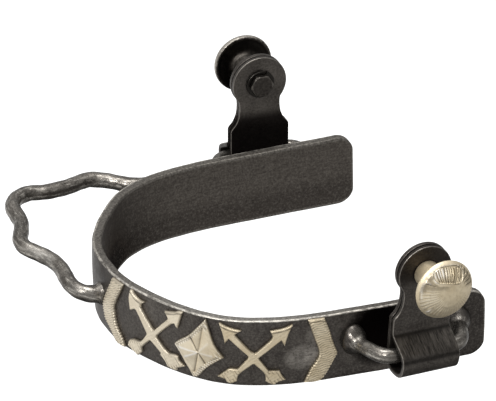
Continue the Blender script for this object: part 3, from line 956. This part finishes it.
def strap_material():
    N = Nodes("antiqued_strap_steel")
    co = N.attr("co", True)
    edge, fold, slope, crease, low = N.attr("edge"), N.attr("fold"), N.attr("slope"), N.attr("crease"), N.attr("low")
    big = N.noise(N.mm, 0.13, 4.0, 0.6)
    mid = N.noise(N.mm, 0.9, 5.0, 0.62)
    grain = N.noise(N.mm, 1.8, 4.0, 0.75)
    fine = N.noise(N.mm, 5.0, 3.0, 0.6)
    marks = N.noise(N.stretch(co, (2.6, 0.30, 1.0)), 1.0, 4.0, 0.65)      # marks along the strap
    c = N.mix(N.range(big, 0.35, 0.68), (0.046, 0.040, 0.035), (0.092, 0.082, 0.072))
    c = N.mix(N.math("MULTIPLY", N.range(mid, 0.42, 0.75), 0.30), c, (0.12, 0.110, 0.098))
    c = N.mix(N.math("MULTIPLY", N.range(grain, 0.51, 0.72), 0.50), c, (0.165, 0.150, 0.132))
    c = N.mix(N.math("MULTIPLY", N.range(grain, 0.49, 0.28), 0.65), c, (0.016, 0.013, 0.011))
    sl = N.mix(N.range(marks, 0.36, 0.68), (0.014, 0.012, 0.010), (0.084, 0.075, 0.065))
    c = N.mix(N.math("MULTIPLY", slope, 0.95), c, sl)
    c = N.mix(N.math("MULTIPLY", low, 0.85), c, (0.008, 0.006, 0.006))
    c = N.mix(N.math("MULTIPLY", crease, 0.90), c, (0.007, 0.006, 0.005))
    c = N.mix(N.math("MULTIPLY", fold, 0.35), c, (0.020, 0.017, 0.015))
    c = N.mix(wear_of(N, edge, 0.8, 1.2), c, (0.25, 0.23, 0.205))
    rough = N.math("ADD", N.range(mid, 0.3, 0.7, 0.34, 0.50), N.math("MULTIPLY", N.math("SUBTRACT", grain, 0.5), 0.18))
    b1 = N.bump(fine, 0.02, 0.5)
    b2 = N.bump(N.math("ADD", mid, N.math("MULTIPLY", N.math("MULTIPLY", marks, slope), 1.4)), 0.06, 0.5, b1)
    return N.done(c, rough, b2, 0.85, **{"Specular IOR Level": N.range(low, 0.0, 1.0, 0.5, 0.08), "Specular Tint": N.mix(low, (1.0, 1.0, 1.0), (0.30, 0.27, 0.25))})


def fastener_material(name="blackened_fastener_steel", k=1.0):
    N = Nodes(name)
    edge = N.attr("edge")
    mid = N.noise(N.mm, 1.3, 4.0, 0.6)
    fine = N.noise(N.mm, 6.0, 3.0, 0.6)
    c = N.mix(N.range(mid, 0.35, 0.7), tuple(k * v for v in (0.030, 0.026, 0.023)), tuple(k * v for v in (0.075, 0.067, 0.059)))
    c = N.mix(wear_of(N, edge, 0.7, 1.6), c, tuple(k * v for v in (0.19, 0.175, 0.156)))
    return N.done(c, N.range(mid, 0.3, 0.7, 0.32, 0.48), N.bump(fine, 0.03, 0.6))


def silver_material(name, over=False):
    N = Nodes(name)
    edge, dark, light = N.attr("edge"), N.attr("dark"), N.attr("light")
    big = N.noise(N.mm, 0.22, 4.0, 0.6)
    mid = N.noise(N.mm, 1.1, 5.0, 0.65)
    fine = N.noise(N.mm, 6.0, 4.0, 0.7)
    c = N.mix(N.range(big, 0.34, 0.68), (0.64, 0.535, 0.360), (0.80, 0.700, 0.515))
    c = N.mix(N.math("MULTIPLY", N.range(mid, 0.50, 0.78), 0.45), c, (0.43, 0.350, 0.225))
    c = N.mix(N.math("MULTIPLY", N.range(fine, 0.60, 0.80), 0.30), c, (0.30, 0.24, 0.155))
    c = N.mix(N.math("MULTIPLY", edge, 0.15), c, (0.86, 0.79, 0.65))
    if over:      # polished paler towards the heel
        sx = N.new("ShaderNodeSeparateXYZ")
        N.put(sx.inputs[0], N.attr("co", True))
        c = N.mix(N.range(sx.outputs[0], 44.0, 30.0, 0.04, 0.36), c, (0.95, 0.90, 0.80))
    dk = N.math("MULTIPLY", dark, N.range(mid, 0.15, 0.55, 0.75, 1.0))
    c = N.mix(N.math("MULTIPLY", light, 0.80), c, (0.98, 0.96, 0.92))
    c = N.mix(dk, c, (0.085, 0.066, 0.045))
    rough = N.range(mid, 0.3, 0.7, 0.44, 0.58) if over else N.range(mid, 0.3, 0.7, 0.42, 0.56)
    b1 = N.bump(fine, 0.035, 0.5)
    b2 = N.bump(mid, 0.07, 0.45, b1)
    return N.done(c, rough, b2, 0.92)


def dark_button_material():
    N = Nodes("dark_plated_button")
    edge, dark, post, deep = N.attr("edge"), N.attr("dark"), N.attr("post"), N.attr("deep")
    mid = N.noise(N.mm, 0.8, 5.0, 0.62)
    fine = N.noise(N.mm, 5.0, 3.0, 0.6)
    c = N.mix(N.range(mid, 0.35, 0.7), (0.030, 0.026, 0.022), (0.070, 0.062, 0.054))
    c = N.mix(N.math("MULTIPLY", post, 0.9), c, N.mix(N.range(mid, 0.35, 0.7), (0.15, 0.137, 0.120), (0.30, 0.275, 0.243)))
    c = N.mix(N.math("MULTIPLY", deep, 0.85), c, (0.008, 0.007, 0.006))
    c = N.mix(wear_of(N, edge, 1.0, 1.3), c, (0.50, 0.465, 0.415))
    c = N.mix(dark, c, (0.010, 0.009, 0.008))
    return N.done(c, N.range(mid, 0.3, 0.7, 0.34, 0.50), N.bump(N.math("ADD", fine, mid), 0.05, 0.5))


# ---------------- assembly ----------------
M_BAND, M_ROD = band_material(), rod_material("worn_rod_steel", 1.22)
M_WIRE = rod_material("worn_wire_steel", 1.15, 0.80)
M_STRAP, M_FAST, M_WASH = strap_material(), fastener_material(), fastener_material("black_lock_washer", 0.22)
M_SILVER = silver_material("engraved_nickel_silver")
M_OVER = silver_material("engraved_silver_overlay", True)
M_DARKB = dark_button_material()


def finish_piece(o, mat, slot, body, *nodes):
    o.data.materials.append(mat)
    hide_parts(*nodes)
    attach(o, body)
    return o


finish_piece(make_band(), M_BAND, "band_steel", "spur", "heel_band")
finish_piece(make_bumper(), M_ROD, "rod_steel", "spur", "bumper_loop")
for which in ("outer", "inner"):
    finish_piece(make_staple(which), M_WIRE, "rod_steel", "spur", "staple_" + which)
    body = which + "_hanger"
    finish_piece(make_hanger(which), M_STRAP, "strap_steel", body, "hanger_" + which)
    finish_piece(make_button(which), M_SILVER if which == "outer" else M_DARKB, "silver" if which == "outer" else "dark_button", body, "button_" + which)
    finish_piece(make_bolt(which), M_FAST, "fastener_steel", body, "bolt_" + which)
    finish_piece(make_washer(which), M_WASH, "fastener_steel", body, "lock_washer_" + which)
for name in OUT:
    finish_piece(make_overlay(name), M_OVER, "silver", "spur", name)

# ---------------- stage ----------------
bpy.context.scene.view_settings.view_transform = "Standard"
fm = bpy.data.meshes.new("floor")      # low enough for the hangers to hang down past the lower rim
S = 6.0
fm.from_pydata([(-S, -S, -0.0245), (S, -S, -0.0245), (S, S, -0.0245), (-S, S, -0.0245)], [], [(0, 1, 2, 3)])
floor = bpy.data.objects.new("floor", fm)
bpy.context.scene.collection.objects.link(floor)
FN = Nodes("pale_floor")
FN.done((0.35, 0.35, 0.35), 0.9, None, 0.0, **{"Specular IOR Level": 0.0})
FN.put(FN.b.inputs["Emission Color"], (1.0, 1.0, 0.995))
FN.put(FN.b.inputs["Emission Strength"], 0.88)
floor.data.materials.append(FN.m)
floor.visible_glossy = False

world = bpy.data.worlds.new("studio")
bpy.context.scene.world = world
world.use_nodes = True
wt = world.node_tree
wt.nodes.clear()
wo, wb = wt.nodes.new("ShaderNodeOutputWorld"), wt.nodes.new("ShaderNodeBackground")
wc, wr, ws = wt.nodes.new("ShaderNodeTexCoord"), wt.nodes.new("ShaderNodeValToRGB"), wt.nodes.new("ShaderNodeSeparateXYZ")
wm = wt.nodes.new("ShaderNodeMapRange")
wt.links.new(wc.outputs["Generated"], ws.inputs[0])
wt.links.new(ws.outputs[2], wm.inputs[0])
wm.inputs[1].default_value, wm.inputs[2].default_value = -1.0, 1.0
wt.links.new(wm.outputs[0], wr.inputs[0])
el = wr.color_ramp.elements
el[0].position, el[0].color = 0.0, (0.06, 0.06, 0.06, 1)
el[1].position, el[1].color = 1.0, (1.0, 1.0, 1.0, 1)
for p, v in ((0.08, 0.08), (0.19, 0.55), (0.28, 0.84), (0.38, 0.66), (0.50, 0.36), (0.70, 0.50)):
    e = el.new(p)
    e.color = (v, v, v, 1)
wt.links.new(wr.outputs[0], wb.inputs[0])
wl = wt.nodes.new("ShaderNodeMapRange")          # a little brighter from the heel side
wt.links.new(ws.outputs[0], wl.inputs[0])
for i, v in zip((1, 2, 3, 4), (-1.0, 1.0, 1.32, 0.80)):
    wl.inputs[i].default_value = v
wt.links.new(wl.outputs[0], wb.inputs[1])
wt.links.new(wb.outputs[0], wo.inputs[0])


def area(name, loc, target, size, power, color=(1, 1, 1)):
    d = bpy.data.lights.new(name, "AREA")
    d.shape, d.size, d.size_y, d.energy, d.color = "RECTANGLE", size[0], size[1], power, color
    o = bpy.data.objects.new(name, d)
    bpy.context.scene.collection.objects.link(o)
    o.location = loc
    o.rotation_mode = "QUATERNION"
    o.rotation_quaternion = (Vector(target) - Vector(loc)).to_track_quat("-Z", "Y")
    return o


area("top_soft", (0.02, 0.02, 0.75), (0.04, 0, 0.02), (0.45, 0.45), 2.6)
area("key_left", (-0.50, -0.42, 0.62), (0.04, 0, 0.02), (0.16, 0.16), 5.0)

# ---------------- camera ----------------
AZ, EL, DIST = math.radians(-21.0), math.radians(28.3), 2.771
back = Vector((math.sin(AZ) * math.cos(EL), -math.cos(AZ) * math.cos(EL), math.sin(EL)))
target = Vector(((40.2 - OX) * 0.001, 0.0001, 0.0312))
cd = bpy.data.cameras.new("camera")
cd.sensor_width, cd.lens = 36.0, 10556.0 * 36.0 / 496.0
cd.clip_start, cd.clip_end = 0.1, 60.0
cam = bpy.data.objects.new("camera", cd)
bpy.context.scene.collection.objects.link(cam)
cam.location = target + back * DIST
cam.rotation_mode = "QUATERNION"
cam.rotation_quaternion = (-back).to_track_quat("-Z", "Y")
bpy.context.scene.camera = cam
